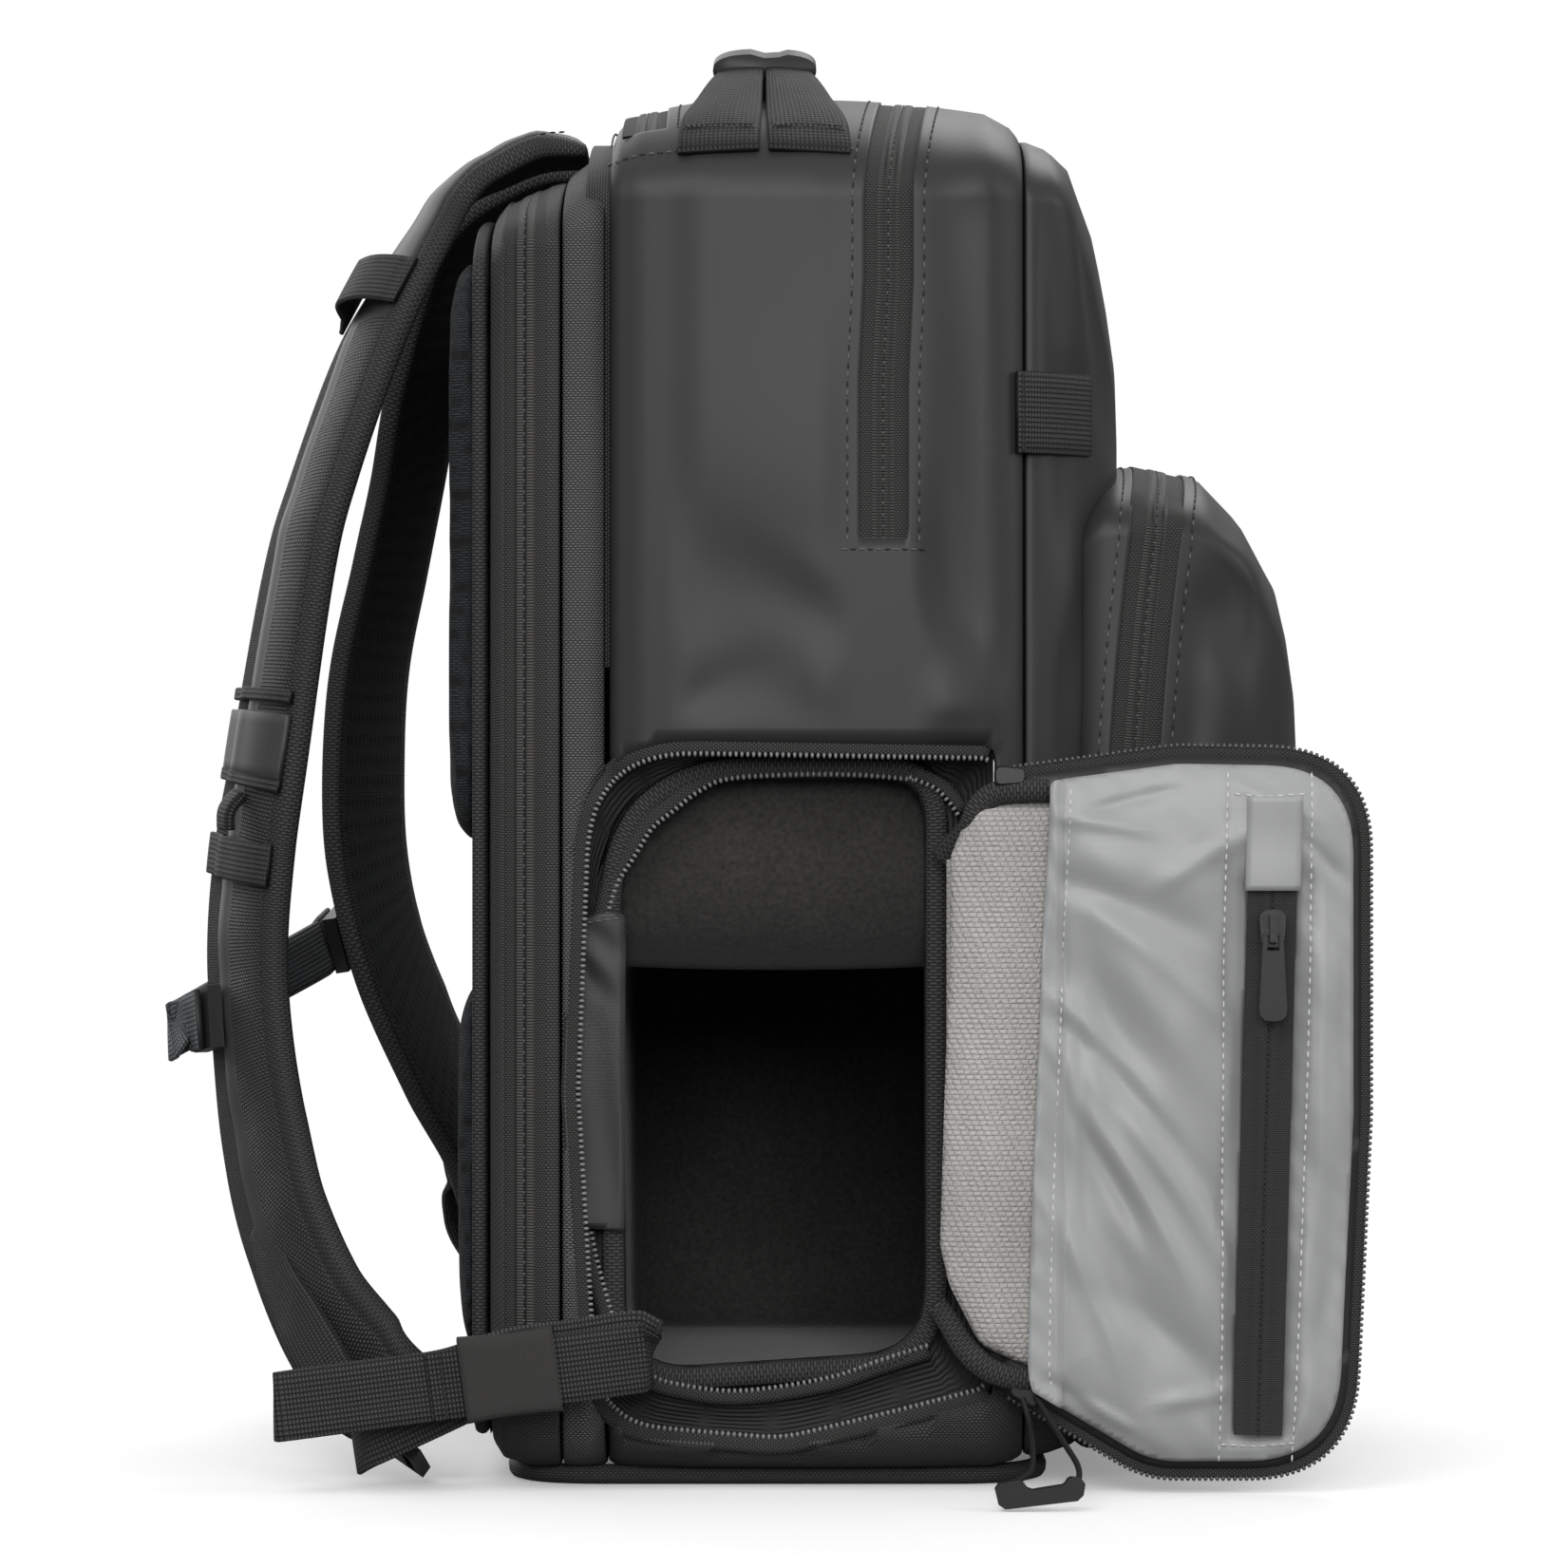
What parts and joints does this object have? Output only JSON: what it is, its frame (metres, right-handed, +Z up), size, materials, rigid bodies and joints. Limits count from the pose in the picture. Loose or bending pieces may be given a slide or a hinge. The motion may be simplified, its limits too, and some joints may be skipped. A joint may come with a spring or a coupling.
{
  "type": "camera backpack",
  "caption": "Upright camera backpack with a laptop sleeve, front pocket, padded shoulder straps and a side camera door folded open on a padded cube.",
  "frame": {"origin": "middle of the base panel's flat underside", "axes": "+Z up, +X to the bag's outer front away from the wearer, -Y to the near side that has the camera door"},
  "size_m": [0.3654, 0.3733, 0.442],
  "materials": {
    "coated": "smooth coated cloth, low sheen",
    "zip_tape": "ribbed knit tape with a sewn coil",
    "woven": "two-tone basket weave",
    "mesh": "3D air mesh",
    "binding": "fine grosgrain",
    "dark_fleece": "brushed loop pile",
    "dark_satin": "soft satin lining",
    "pale_fleece": "ribbed loop fleece",
    "satin": "semi-gloss polyester satin",
    "slider_metal": "black lacquered",
    "plastic": "moulded, fine grain",
    "webbing": "ribbed webbing"
  },
  "bodies": {
    "bag": {"main_shell": "coated", "front_compartment": "coated", "front_pocket": "coated", "door_panel": "coated", "strap_patch": "coated", "handle_grip": "coated", "main_zip": "zip_tape", "top_zip": "zip_tape", "laptop_zip": "zip_tape", "front_pocket_zip": "zip_tape", "opening_zip": "zip_tape", "door_zip": "zip_tape", "rear_gusset": "woven", "laptop_sleeve": "woven", "base_panel": "woven", "shoulder_strap_near": "woven", "shoulder_strap_far": "woven", "back_panel": "mesh", "back_pad_upper_near": "mesh", "back_pad_upper_far": "mesh", "back_pad_lower_near": "mesh", "back_pad_lower_far": "mesh", "back_piping": "binding", "cube_binding": "binding", "sleeve_zip": "binding", "pull_cord": "binding", "webbing_keeper": "binding", "camera_cube": "dark_fleece", "cube_divider": "dark_fleece", "inner_flap": "dark_satin", "cube_door": "pale_fleece", "door_sleeve": "satin", "sleeve_slider": "slider_metal", "door_slider_upper": "slider_metal", "door_slider_lower": "slider_metal", "main_slider": "slider_metal", "laptop_slider": "slider_metal", "pocket_slider": "slider_metal", "top_slider": "slider_metal", "pull_grip": "plastic", "ladder_lock_near": "plastic", "ladder_lock_far": "plastic", "sternum_slider_near": "plastic", "sternum_slider_far": "plastic", "strap_loop_near": "webbing", "strap_loop_far": "webbing", "strap_keeper": "webbing", "strap_tab": "webbing", "anchor_webbing_near": "webbing", "anchor_webbing_far": "webbing", "lower_webbing_near": "webbing", "lower_webbing_far": "webbing", "webbing_tail": "webbing", "sternum_strap": "webbing", "handle_webbing_rear": "webbing", "handle_webbing_front": "webbing", "lash_loop_near": "webbing", "lash_loop_far": "webbing"},
    "pull_tab": {"sleeve_pull": "plastic"}
  },
  "joints": [
    {"name": "pull_swing", "type": "hinge", "parent": "bag", "child": "pull_tab", "pos_m": [0.14387, -0.16035, 0.1667], "axis": [-1, 0, 0], "range_deg": [0, 120]}
  ]
}
